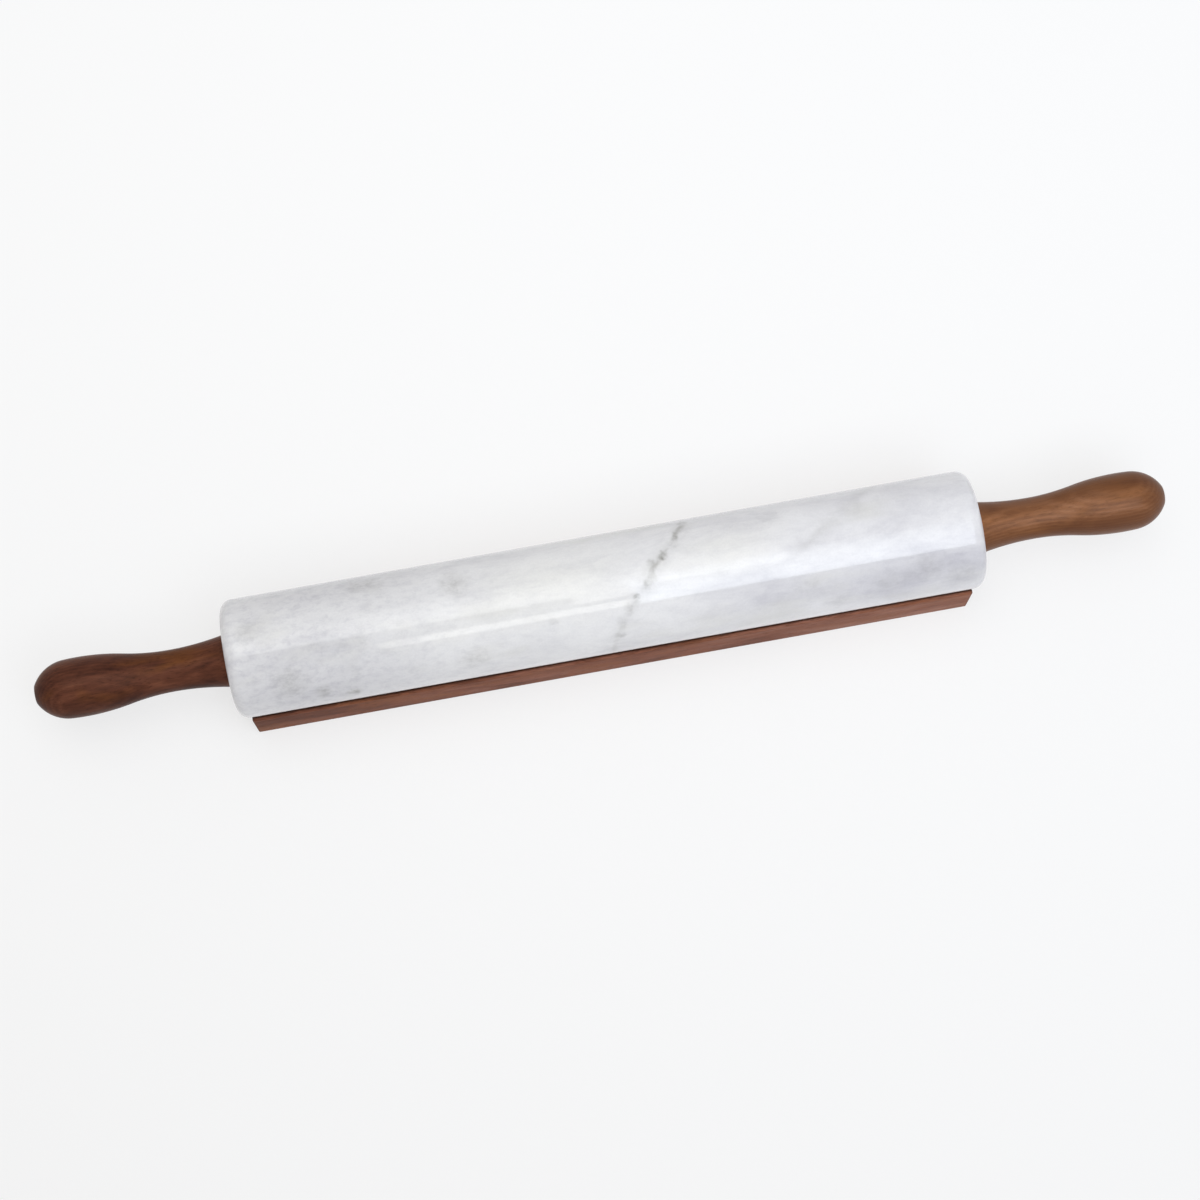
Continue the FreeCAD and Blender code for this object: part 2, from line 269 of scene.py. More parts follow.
@dataclass(frozen=True)
class Grain:
    """A noise: its grains to the metre along X, Y and Z, its finer layers, their share, and its swirl."""

    count: Point
    detail: float = 2.0
    roughness: float = 0.5
    distortion: float = 0.0


# The value that a noise swings about, and the span that most of it lies in
NOISE_MEAN = 0.5
NOISE_SPAN = (0.3, 0.7)

# Wood: what bends its grain, its fibres, its open pores, its patches of shade and of tint
BEND_GRAIN = Grain((11, 34, 34), detail=3)
FIBRE_GRAIN = Grain((110, 850, 850), detail=4, roughness=0.68)
PORE_GRAIN = Grain((280, 1800, 1800), detail=1)
PATCH_GRAIN = Grain((24, 80, 80), detail=3, distortion=0.5)
TINT_GRAIN = Grain((21, 75, 75), distortion=0.3)
PORE_SPAN = (0.56, 0.7)
RING_POWER = 1.5

# Turned pieces: the smears on them and the layers in their tool marks
SMEAR_GRAIN = Grain((240, 240, 240), detail=3)
LINE_DETAIL = 2.0


class NodeSheet:
    """The nodes of one material or group, added and linked by short calls."""

    # Where a Mix node has its factor, its two colours and its result
    MIX_INPUTS = (0, 6, 7)
    MIX_RESULT = 2

    def __init__(self, tree: bpy.types.NodeTree) -> None:
        """Keep the tree that the calls fill."""
        self.tree = tree

    def node(self, kind: str, *values: Feed, **settings: object) -> bpy.types.Node:
        """Add a node.

        Args:
            kind: Its type.
            values: What its inputs take, in order.
            settings: Its properties.

        Returns:
            The node.
        """
        made = self.tree.nodes.new(kind)
        for name, value in settings.items():
            setattr(made, name, value)
        for socket, value in zip(made.inputs, values):
            self.feed(socket, value)
        return made

    def feed(self, socket: Socket, value: Feed) -> None:
        """Link an output to a socket, or set the socket's own value.

        Args:
            socket: The socket.
            value: The output or the value.
        """
        if isinstance(value, bpy.types.NodeSocket):
            self.tree.links.new(value, socket)
        else:
            socket.default_value = value

    def fill(self, node: bpy.types.Node, **values: Feed) -> bpy.types.Node:
        """Feed a node's inputs by name.

        Args:
            node: The node.
            values: What its inputs take, named with _ for a space.

        Returns:
            The node.
        """
        for name, value in values.items():
            self.feed(node.inputs[name.replace("_", " ")], value)
        return node

    def show(self, shader: bpy.types.Node, output: str = "ShaderNodeOutputMaterial") -> None:
        """Link a shader to an output node of a type."""
        self.fill(self.node(output), Surface=shader.outputs[0])

    def math(self, operation: str, *values: Feed, clamp: bool = False) -> Socket:
        """What a Math node makes of some values, kept from 0 to 1 where it clamps."""
        return self.node("ShaderNodeMath", *values, operation=operation, use_clamp=clamp).outputs[0]

    def vector(self, operation: str, *values: Feed) -> Socket:
        """What a Vector Math node makes of vectors: a vector, or a number for a length or dot product."""
        made = self.node("ShaderNodeVectorMath", *values, operation=operation)
        return made.outputs["Value" if operation in ("LENGTH", "DOT_PRODUCT") else "Vector"]

    def parts(self, vector: Socket) -> Sockets:
        """The X, Y and Z of a vector."""
        return self.node("ShaderNodeSeparateXYZ", vector).outputs

    def off_axis(self, vector: Socket) -> Socket:
        """How far a vector goes from the X axis."""
        return self.vector("LENGTH", self.vector("MULTIPLY", vector, (0.0, 1.0, 1.0)))

    def spread(self, value: Socket, low: float, high: float, to_low: float = 0.0,
               to_high: float = 1.0) -> Socket:
        """Map a value smoothly from one range to another, kept within it.

        Args:
            value: What is mapped.
            low, high: The range that it has.
            to_low, to_high: The range that it gets.

        Returns:
            The mapped value.
        """
        made = self.node("ShaderNodeMapRange", value, low, high, to_low, to_high,
                         interpolation_type="SMOOTHSTEP")
        return made.outputs[0]

    def noise(self, vector: Socket, grain: Grain, output: str = "Fac") -> Socket:
        """Add noise whose grains have their own size along each axis.

        Args:
            vector: The coordinates.
            grain: Its grain.
            output: Fac for one value, Color for three.

        Returns:
            The noise.
        """
        made = self.fill(self.node("ShaderNodeTexNoise"),
                         Vector=self.vector("MULTIPLY", vector, grain.count), Scale=1.0, Detail=grain.detail,
                         Roughness=grain.roughness, Distortion=grain.distortion)
        return made.outputs[output]

    def swirl(self, vector: Socket, grain: Grain) -> Socket:
        """Noise that swings about 0 along all three axes."""
        return self.vector("SUBTRACT", self.noise(vector, grain, "Color"), (NOISE_MEAN,) * 3)

    def blend(self, factor: Feed, first: Feed, second: Feed, mode: str = "MIX") -> Socket:
        """Mix two colours.

        Args:
            factor: How much of the second there is.
            first, second: The colours.
            mode: How the second goes over the first.

        Returns:
            The mixed colour.
        """
        made = self.node("ShaderNodeMix", data_type="RGBA", blend_type=mode)
        for place, value in zip(self.MIX_INPUTS, (factor, first, second)):
            self.feed(made.inputs[place], value)
        return made.outputs[self.MIX_RESULT]

    def ramp(self, factor: Socket, stops: Sequence[tuple[float, Colour]]) -> Socket:
        """Add a colour ramp.

        Args:
            factor: What runs along it.
            stops: Each stop's place and colour.

        Returns:
            The colour.
        """
        made = self.node("ShaderNodeValToRGB", factor)
        elements = made.color_ramp.elements
        while len(elements) < len(stops):
            elements.new(1.0)
        for element, (place, colour) in zip(elements, stops):
            element.position = place
            element.color = rgba(colour)
        return made.outputs["Color"]

    def bump(self, height: Socket, depth: float, strength: float) -> Socket:
        """A normal that follows a height, of which 1 is worth the depth and shows with the strength."""
        made = self.fill(self.node("ShaderNodeBump"), Strength=strength, Distance=depth, Height=height)
        return made.outputs["Normal"]

    def place(self, group: bpy.types.NodeTree, **values: Feed) -> Sockets:
        """The outputs of a placed group, whose inputs take values by name, with _ for a space."""
        return self.fill(self.node("ShaderNodeGroup", node_tree=group), **values).outputs


def cleared(owner: Union[bpy.types.Material, bpy.types.World]) -> NodeSheet:
    """Turn on the nodes of a material or a world, and clear them.

    Args:
        owner: The material or world.

    Returns:
        Its nodes, none so far.
    """
    owner.use_nodes = True
    owner.node_tree.nodes.clear()
    return NodeSheet(owner.node_tree)


def new_material(name: str) -> tuple[bpy.types.Material, NodeSheet, bpy.types.Node]:
    """Start a material with a Principled shader.

    Args:
        name: The material's name.

    Returns:
        The material, its nodes and its shader.
    """
    made = bpy.data.materials.new(name)
    sheet = cleared(made)
    shader = sheet.node("ShaderNodeBsdfPrincipled")
    sheet.show(shader)
    return made, sheet, shader


def object_coordinates(sheet: NodeSheet, height: float = 0.0) -> Socket:
    """A piece's own coordinates, with the origin lifted to a height."""
    source = sheet.node("ShaderNodeTexCoord")
    return sheet.vector("SUBTRACT", source.outputs["Object"], (0.0, 0.0, height))


def new_group(
        name: str, inputs: dict[str, str], outputs: Sequence[str]) -> tuple[NodeSheet, Sockets, Sockets]:
    """Start a shader node group.

    Args:
        name: The group's name.
        inputs: Each input's name and kind.
        outputs: The names of its values.

    Returns:
        The group's nodes, the sockets that bring its inputs, and those that take its outputs.
    """
    tree = bpy.data.node_groups.new(name, "ShaderNodeTree")
    for label, kind in inputs.items():
        tree.interface.new_socket(name=label, in_out="INPUT", socket_type=kind)
    for label in outputs:
        tree.interface.new_socket(name=label, in_out="OUTPUT", socket_type="NodeSocketFloat")
    sheet = NodeSheet(tree)
    return sheet, sheet.node("NodeGroupInput").outputs, sheet.node("NodeGroupOutput").inputs


def wood_grain_group() -> bpy.types.NodeTree:
    """Grain along X: rings about a pith line, fibres, open pores, and broad patches of shade and of tint.

    Returns:
        The group's nodes.
    """
    sheet, given, wanted = new_group(
        "wood_grain",
        {"Vector": "NodeSocketVector", "Pith": "NodeSocketVector",
         "Ring Spacing": "NodeSocketFloat", "Waver": "NodeSocketFloat"},
        ("Rings", "Fibres", "Pores", "Patches", "Tints"))
    vector = sheet.vector("SUBTRACT", given["Vector"], given["Pith"])
    waver = sheet.node("ShaderNodeVectorMath", sheet.swirl(vector, BEND_GRAIN), operation="SCALE")
    sheet.fill(waver, Scale=given["Waver"])
    bent = sheet.vector("ADD", vector, waver.outputs[0])
    rings = sheet.math("DIVIDE", sheet.off_axis(bent), given["Ring Spacing"])
    wave = sheet.math("SINE", sheet.math("MULTIPLY", rings, math.tau))
    wave = sheet.math("MULTIPLY_ADD", wave, 0.5, 0.5)
    sheet.feed(wanted["Rings"], sheet.math("POWER", wave, RING_POWER))
    sheet.feed(wanted["Fibres"], sheet.noise(bent, FIBRE_GRAIN))
    sheet.feed(wanted["Pores"], sheet.spread(sheet.noise(bent, PORE_GRAIN), *PORE_SPAN))
    sheet.feed(wanted["Patches"], sheet.noise(vector, PATCH_GRAIN))
    sheet.feed(wanted["Tints"], sheet.noise(bent, TINT_GRAIN))
    return sheet.tree


def tool_mark_group() -> bpy.types.NodeTree:
    """Fine lines that a lathe leaves: round a bar, and in rings on a face.

    Returns:
        The group's nodes.
    """
    sheet, given, wanted = new_group(
        "tool_marks",
        {"Vector": "NodeSocketVector", "Lines": "NodeSocketFloat"},
        (Turning.AROUND.value, Turning.FACED.value, "Smears"))
    vector = given["Vector"]
    places = {Turning.AROUND: sheet.parts(vector)[0], Turning.FACED: sheet.off_axis(vector)}
    for turning, place in places.items():
        lines = sheet.node("ShaderNodeTexNoise", noise_dimensions="1D")
        sheet.fill(lines, W=sheet.math("MULTIPLY", place, given["Lines"]), Scale=1.0, Detail=LINE_DETAIL)
        sheet.feed(wanted[turning.value], lines.outputs["Fac"])
    sheet.feed(wanted["Smears"], sheet.noise(vector, SMEAR_GRAIN))
    return sheet.tree


# Finishes


@dataclass(frozen=True)
class Cloud:
    """Cloud all through the stone: its noise, the span over which it thickens, and its share there."""

    grain: Grain
    span: Span
    share: float = 1.0

    def mask(self, sheet: NodeSheet, stone: Socket) -> Socket:
        """How much of it shows at the stone's coordinates."""
        return sheet.spread(sheet.noise(stone, self.grain), *self.span, 0.0, self.share)


@dataclass(frozen=True)
class Vein:
    """A sheet of grey mineral through the stone, cut by the barrel's skin as a broken line.

    It crosses the crown at place, and runs slope along X for each unit along Y. The core is the line itself
    and the halo is the grey beside it. Past the fade place, along Y to the front, it fades to a faded share.
    """

    place: float
    slope: float
    core: float
    halo: float
    wander: float
    core_share: float
    halo_share: float
    fade_place: float
    faded_share: float
    fade_run: float = 11 * MM
    bends: Grain = Grain((90, 90, 90), detail=4)
    breaks: Cloud = Cloud(Grain((130, 130, 130), detail=3), (0.38, 0.62))
    haze: Cloud = Cloud(Grain((120, 120, 120), detail=4), (0.35, 0.65))

    def mask(self, sheet: NodeSheet, stone: Socket) -> Socket:
        """How much of its mineral shows.

        Args:
            sheet: The material's nodes.
            stone: Coordinates from the barrel's axis.

        Returns:
            A share from 0 to 1.
        """
        along, across, _ = sheet.parts(stone)
        bend = sheet.math("SUBTRACT", sheet.noise(stone, self.bends), NOISE_MEAN)
        line = sheet.math("MULTIPLY_ADD", across, -self.slope, along)
        line = sheet.math("SUBTRACT", line, self.place)
        line = sheet.math("ABSOLUTE", sheet.math("MULTIPLY_ADD", bend, self.wander, line))
        core = sheet.math("MULTIPLY", sheet.spread(line, 0.0, self.core, self.core_share, 0.0),
                          self.breaks.mask(sheet, stone))
        halo = sheet.math("MULTIPLY", sheet.spread(line, 0.0, self.halo, self.halo_share, 0.0),
                          self.haze.mask(sheet, stone))
        fade = sheet.spread(across, self.fade_place - self.fade_run, self.fade_place, self.faded_share, 1.0)
        return sheet.math("MULTIPLY", sheet.math("ADD", core, halo), fade, clamp=True)


@dataclass(frozen=True)
class Smudge:
    """A spot in the barrel's skin, in millimetres, with its angle in degrees from the crown to the front."""

    along: float
    angle: float
    reach_along: float
    reach_round: float
    share: float

    def middle(self, radius: float) -> Point:
        """Where it lies, from the middle of the barrel's axis."""
        turn = math.radians(self.angle)
        return self.along * MM, -radius * math.sin(turn), radius * math.cos(turn)

    def reach(self) -> Point:
        """How far it reaches along each axis."""
        return self.reach_along * MM, self.reach_round * MM, self.reach_round * MM


@dataclass(frozen=True)
class SmudgeSet:
    """Smudges, the noise that frays their edges, and how far it moves them."""

    fray: Grain
    wander: float
    smudges: tuple[Smudge, ...]

    def mask(self, sheet: NodeSheet, stone: Socket, radius: float) -> Socket:
        """How much of the smudges shows.

        Args:
            sheet: The material's nodes.
            stone: Coordinates from the barrel's axis.
            radius: The barrel's radius.

        Returns:
            A share from 0 to 1.
        """
        frayed = sheet.vector("MULTIPLY_ADD", sheet.swirl(stone, self.fray), (self.wander,) * 3, stone)
        total = 0.0
        for smudge in self.smudges:
            from_middle = sheet.vector("SUBTRACT", frayed, smudge.middle(radius))
            distance = sheet.vector("LENGTH", sheet.vector("DIVIDE", from_middle, smudge.reach()))
            total = sheet.math("ADD", sheet.spread(distance, 0.0, 1.0, smudge.share, 0.0), total)
        return sheet.math("MINIMUM", total, 1.0)


@dataclass(frozen=True)
class MarbleFinish:
    """Polished white marble with broad grey clouds, soft spots and one broken dark vein."""

    name: str = "polished_marble"
    white: Colour = (0.873, 0.867, 0.867)
    cloud: Colour = (0.58, 0.572, 0.608)
    olive: Colour = (0.70, 0.69, 0.645)
    mineral: Colour = (0.25, 0.24, 0.212)
    # Painted light: a warm tint for the lit crown and the front band
    painted_warm_light: Colour = (1.0, 0.997, 0.965)
    # Painted light: a cool cast toward the right end, where the bluish light falls
    painted_cool_light: Colour = (0.996, 0.992, 1.006)
    veins: tuple[Vein, ...] = (
        Vein(24.5 * MM, 0.83, 2.6 * MM, 10.0 * MM, 6.5 * MM, 0.38, 0.16, -9 * MM, 0.42),
        Vein(102.5 * MM, 1.38, 6.0 * MM, 14.0 * MM, 9.0 * MM, 0.1, 0.12, 3 * MM, 0.0),
        Vein(-118 * MM, 0.55, 1.2 * MM, 9.0 * MM, 8.0 * MM, 0.0, 0.08, -9 * MM, 1.0),
    )
    banks: SmudgeSet = SmudgeSet(Grain((50, 100, 100), detail=4), 26 * MM, (
        Smudge(-141, 60, 88, 42, 0.51),
        Smudge(-176, -5, 22, 22, 0.16),
        Smudge(-135, 4, 26, 12, 0.2),
        Smudge(-158, 2, 30, 16, 0.14),
        Smudge(-95, -36, 50, 32, 0.15),
        Smudge(-130, -48, 60, 26, 0.32),
        # Painted shade: this bank and the one at 125 mm darken the upper rim, toward the back, where shade
        # falls
        Smudge(-60, -66, 70, 18, 0.3),
        Smudge(155, 49, 90, 26, 0.49),
        Smudge(76, 42, 45, 20, 0.3),
        Smudge(180, 46, 40, 15, 0.28),
        # Painted shade along the upper rim, toward the back
        Smudge(125, -66, 90, 16, 0.2),
    ))
    # Painted light: warm tints where the lamps light the crown and the front band
    painted_warm_light_spots: SmudgeSet = SmudgeSet(Grain((40, 80, 80), detail=4), 20 * MM, (
        Smudge(-25, -6, 60, 26, 0.95),
        Smudge(62, -14, 44, 20, 1),
        Smudge(-75, 22, 40, 12, 0.5),
    ))
    spots: SmudgeSet = SmudgeSet(Grain((210, 210, 210), detail=4), 6 * MM, (
        Smudge(43, -54, 4, 8, 0.31),
        Smudge(39.5, -36, 3, 4, 0.66),
        Smudge(37, -27, 5, 6, 0.22),
        Smudge(30.9, -13.4, 2.9, 4.2, 0.92),
        Smudge(25.5, -7, 4.2, 4.6, 0.48),
        Smudge(24.6, 2, 2.6, 5, 0.32),
        Smudge(22.6, 7, 2.2, 4.6, 0.28),
        Smudge(20.6, 12, 2.4, 5, 0.31),
        Smudge(14.4, 21.5, 3.4, 2.4, 0.8),
        Smudge(9.4, 31, 3.4, 5, 0.22),
        Smudge(5.8, 44, 3.4, 6, 0.16),
        Smudge(3.4, 58, 3.8, 3.8, 0.32),
        Smudge(-28, 30, 4, 2.6, 0.2),
        Smudge(-69, 56, 12, 11, 0.24),
        Smudge(-73, -24, 11, 11, 0.34),
        Smudge(-117, -45, 14, 11, 0.3),
        Smudge(-130.5, 73, 6, 5, 0.75),
        Smudge(-145.5, 65, 6, 7, 0.45),
        Smudge(-160, 46, 13, 13, 0.32),
        Smudge(-178, -10, 8, 9, 0.2),
        Smudge(87, -38, 12, 9, 0.14),
        Smudge(100, 40, 14, 9, 0.14),
        Smudge(113, 66, 12, 8, 0.18),
        Smudge(140, 51, 14, 10, 0.18),
        Smudge(160, 44, 16, 12, 0.22),
        Smudge(177, 56, 12, 10, 0.2),
    ))
    drifts: tuple[Cloud, ...] = (
        Cloud(Grain((11, 30, 30), detail=5, roughness=0.6, distortion=0.8), (0.42, 0.72), 0.34),
        Cloud(Grain((46, 125, 125), detail=5, roughness=0.62, distortion=0.4), (0.42, 0.75), 0.21),
    )
    warmth: Cloud = Cloud(Grain((16, 40, 40), detail=3), (0.52, 0.75), 0.5)
    painted_cool_light_span: Span = (-40 * MM, 130 * MM)
    mottle: Grain = Grain((200, 300, 300), detail=4, roughness=0.65)
    speckle_span: Span = (0.42, 0.72)
    speckle_share: float = 0.12
    left_speckle_share: float = 0.22
    left_span: Span = (-165 * MM, -15 * MM)
    spot_span: Span = (0.3, 0.66)
    spot_least: float = 0.4
    fleck: Grain = Grain((900, 900, 900))
    fleck_share: float = 0.015
    polish: Grain = Grain((30, 60, 60), detail=3)
    roughness: Span = (0.02, 0.04)
    relief: float = 0.02 * MM
    relief_share: float = 0.02

    def material(self, radius: float) -> bpy.types.Material:
        """Make the stone.

        Args:
            radius: The barrel's radius.

        Returns:
            The material.
        """
        made, sheet, shader = new_material(self.name)
        stone = object_coordinates(sheet, AXIS_HEIGHT)
        mottle = sheet.noise(stone, self.mottle)
        colour = sheet.blend(self.clouds(sheet, stone, mottle, radius), rgba(self.white), rgba(self.cloud))
        # Painted warm light on the crown and the front band
        painted_warm_light_spots = self.painted_warm_light_spots.mask(sheet, stone, radius)
        colour = sheet.blend(painted_warm_light_spots, colour, rgba(self.painted_warm_light), mode="MULTIPLY")
        # Painted light: a cool cast that grows toward the right end
        cool_light_share = sheet.spread(sheet.parts(stone)[0], *self.painted_cool_light_span)
        colour = sheet.blend(cool_light_share, colour, rgba(self.painted_cool_light), mode="MULTIPLY")
        colour = sheet.blend(self.warmth.mask(sheet, stone), colour, rgba(self.olive))
        for vein in self.veins:
            colour = sheet.blend(vein.mask(sheet, stone), colour, rgba(self.mineral))
        spots = sheet.math("MULTIPLY", self.spots.mask(sheet, stone, radius),
                           sheet.spread(mottle, *self.spot_span, self.spot_least, 1.0))
        colour = sheet.blend(spots, colour, rgba(self.mineral))
        grain = sheet.noise(stone, self.fleck)
        fleck = sheet.spread(grain, *NOISE_SPAN, 1.0 - self.fleck_share, 1.0 + self.fleck_share)
        sheet.fill(shader, Base_Color=sheet.blend(1.0, colour, fleck, mode="MULTIPLY"),
                   Roughness=sheet.spread(sheet.noise(stone, self.polish), *NOISE_SPAN, *self.roughness),
                   Normal=sheet.bump(grain, self.relief, self.relief_share))
        return made

    def clouds(self, sheet: NodeSheet, stone: Socket, mottle: Socket, radius: float) -> Socket:
        """How grey the stone is: banks of cloud, drifts all through it, and specks, mostly at the left end.

        Args:
            sheet: The material's nodes.
            stone: Coordinates from the barrel's axis.
            mottle: Fine noise.
            radius: The barrel's radius.

        Returns:
            A share from 0, white, to 1, grey.
        """
        total = self.banks.mask(sheet, stone, radius)
        for drift in self.drifts:
            total = sheet.math("ADD", total, drift.mask(sheet, stone))
        left = sheet.spread(sheet.parts(stone)[0], *self.left_span, 1.0, 0.0)
        specks = sheet.math("MULTIPLY", sheet.spread(mottle, *self.speckle_span),
                            sheet.math("MULTIPLY_ADD", left, self.left_speckle_share, self.speckle_share))
        return sheet.math("ADD", total, specks, clamp=True)


@dataclass(frozen=True)
class WoodFinish:
    """Oiled hardwood with its grain along X."""

    name: str
    dark: Colour
    middle: Colour
    light: Colour
    tint: Colour
    pith: Point
    ring_spacing: float = 1.6 * MM
    waver: float = 3 * MM
    # Painted shade along X: how much lighter the tone gets to the metre toward +X, where the light falls
    # stronger
    drift: float = 0.0
    mid_tone: float = 0.5
    tone_reach: float = 0.4
    ring_share: float = 0.06
    patch_share: float = 0.75
    tint_share: float = 0.75
    tint_span: Span = (0.46, 0.68)
    fibre_share: float = 0.22
    fibre_span: Span = (0.25, 0.75)
    pore_share: float = 0.32
    # Painted shade and sheen: the wood darkens toward its sides, away from a pale lit middle band, across
    # the direction below
    side_shade_share: float = 0.0
    lit_middle_depth: float = 0.5 * MM
    side_shade_depth: float = 11 * MM
    shade_across: Point = (0.0, 0.976, 0.22)
    end_share: float = 0.5
    end_span: Span = (262 * MM, 288 * MM)
    # Painted shade along both lips of the trough, in the gap under the barrel
    gap_shade: Colour = srgb(40, 22, 17)
    gap_shade_share: float = 0.0
    gap_shade_across: float = 28.1 * MM
    gap_shade_height: float = 29.5 * MM
    gap_shade_span: Span = (0.5 * MM, 1.6 * MM)
    roughness: Span = (0.3, 0.42)
    specular: float = 0.28
    relief: float = 0.12 * MM
    relief_share: float = 0.25

    def material(self, grain_group: bpy.types.NodeTree) -> bpy.types.Material:
        """Make the wood.

        Args:
            grain_group: The wood_grain group.

        Returns:
            The material.
        """
        made, sheet, shader = new_material(self.name)
        block = object_coordinates(sheet)
        grain = sheet.place(grain_group, Vector=block, Pith=self.pith,
                            Ring_Spacing=self.ring_spacing, Waver=self.waver)
        # Painted shade: the tone rises along X, lighter toward the right end
        tone = sheet.math("MULTIPLY_ADD", sheet.parts(block)[0], self.drift, self.mid_tone)
        for output, share in (("Rings", self.ring_share), ("Patches", self.patch_share)):
            swing = sheet.math("MULTIPLY", sheet.math("SUBTRACT", grain[output], NOISE_MEAN), share * 2)
            tone = sheet.math("ADD", swing, tone)
        colour = sheet.ramp(tone, ((self.mid_tone - self.tone_reach, self.dark),
                                   (self.mid_tone, self.middle),
                                   (self.mid_tone + self.tone_reach, self.light)))
        tints = sheet.spread(grain["Tints"], *self.tint_span, 0.0, self.tint_share)
        colour = sheet.blend(tints, colour, rgba(self.tint))
        fibres = sheet.spread(grain["Fibres"], *self.fibre_span,
                              1.0 - self.fibre_share, 1.0 + self.fibre_share)
        colour = sheet.blend(1.0, colour, fibres, mode="MULTIPLY")
        pores = sheet.math("MULTIPLY", grain["Pores"], self.pore_share)
        colour = sheet.blend(pores, colour, rgba(self.dark), mode="MULTIPLY")
        # Painted shade on the sides around a painted lit middle band, and darker end grain
        colour = sheet.blend(self.painted_shade_and_end_grain(sheet, block), colour, rgba(self.dark))
        # Painted shade along the trough's lips, in the gap beside the barrel
        if self.gap_shade_share:
            colour = sheet.blend(self.painted_gap_shade(sheet, block), colour, rgba(self.gap_shade))
        height = sheet.math("SUBTRACT", grain["Fibres"], grain["Pores"])
        sheet.fill(shader, Base_Color=colour, Specular_IOR_Level=self.specular,
                   Roughness=sheet.spread(grain["Fibres"], *NOISE_SPAN, *self.roughness),
                   Normal=sheet.bump(height, self.relief, self.relief_share))
        return made

    def painted_shade_and_end_grain(self, sheet: NodeSheet, block: Socket) -> Socket:
        """Painted shade: how much darker the wood is on its sides, away from a pale lit middle band that
        stands in for a painted sheen, and how much darker in its end grain.

        Args:
            sheet: The material's nodes.
            block: The piece's coordinates.

        Returns:
            A share from 0, in the painted lit middle, to 1.
        """
        from_lit_middle = sheet.vector("SUBTRACT", block, (0.0, 0.0, AXIS_HEIGHT))
        depth = sheet.math("ABSOLUTE", sheet.vector("DOT_PRODUCT", from_lit_middle, self.shade_across))
        # Painted shade: darker the further from the lit middle band
        faces = sheet.spread(depth, self.lit_middle_depth, self.side_shade_depth, 0.0, self.side_shade_share)
        out = sheet.math("ABSOLUTE", sheet.parts(block)[0])
        ends = sheet.spread(out, *self.end_span, 0.0, self.end_share)
        return sheet.math("MAXIMUM", faces, ends)

    def painted_gap_shade(self, sheet: NodeSheet, block: Socket) -> Socket:
        """Painted shade: how much darker the wood is along both lips of a trough, in the gap where the
        barrel shades it.

        Args:
            sheet: The material's nodes.
            block: The piece's coordinates.

        Returns:
            A share from 0 to 1.
        """
        folded = sheet.vector("ABSOLUTE", block)
        from_lip = sheet.vector("SUBTRACT", folded, (0.0, self.gap_shade_across, self.gap_shade_height))
        return sheet.spread(sheet.off_axis(from_lip), *self.gap_shade_span, self.gap_shade_share, 0.0)


@dataclass(frozen=True)
class TurnedFinish:
    """A metal or plastic piece off the lathe, with its tool marks."""

    name: str
    colour: Colour
    worn: Colour
    metallic: float
    turning: Turning
    lines: float
    roughness: Span
    smear_span: Span = (0.35, 0.7)
    relief: float = 0.02 * MM
    relief_share: float = 0.3

    def material(self, mark_group: bpy.types.NodeTree) -> bpy.types.Material:
        """Make the material.

        Args:
            mark_group: The tool_marks group.

        Returns:
            The material.
        """
        made, sheet, shader = new_material(self.name)
        marks = sheet.place(mark_group, Vector=object_coordinates(sheet, AXIS_HEIGHT), Lines=self.lines)
        lines = marks[self.turning.value]
        smears = sheet.spread(marks["Smears"], *self.smear_span)
        sheet.fill(shader, Base_Color=sheet.blend(smears, rgba(self.colour), rgba(self.worn)),
                   Metallic=self.metallic, Roughness=sheet.spread(lines, *NOISE_SPAN, *self.roughness),
                   Normal=sheet.bump(lines, self.relief, self.relief_share))
        return made


# The pin and its cradle


@dataclass
class Barrel:
    """The marble barrel: bored through, with a seat for a bush's flange and a rounded edge at each end."""

    length: float = 380 * MM
    radius: float = 30 * MM
    edge_radius: float = 6.5 * MM
    bore_radius: float = 8 * MM
    seat_radius: float = 12.05 * MM
    seat_depth: float = 2.3 * MM
    faces_round: int = 192
    edge_segments: int = 12
    smooth_angle: float = math.radians(40)
    finish: MarbleFinish = MarbleFinish()

    def build(self) -> None:
        """Turn the barrel, round its rims and polish it."""
        end = self.length / 2
        seat = end - self.seat_depth
        corners = ((-seat, self.bore_radius), (seat, self.bore_radius), (seat, self.seat_radius),
                   (end, self.seat_radius), (end, self.radius), (-end, self.radius),
                   (-end, self.seat_radius), (-seat, self.seat_radius), (-seat, self.bore_radius))
        points = [Vector((along, 0.0, AXIS_HEIGHT + out)) for along, out in corners]
        outline = Outline("stone_barrel", points[0], Vector((0.0, 1.0, 0.0)))
        for point in points[1:]:
            outline.line_to(point)
        outline.turn(self.faces_round)
        outline.bevel(lambda edge: any(on_circle(edge, side.value * end, self.radius) for side in Side),
                      self.edge_radius, self.edge_segments)
        piece = outline.finish(self.smooth_angle)
        dress(piece, self.finish.material(self.radius))
        install(piece, "marble_barrel", "barrel", "marble")


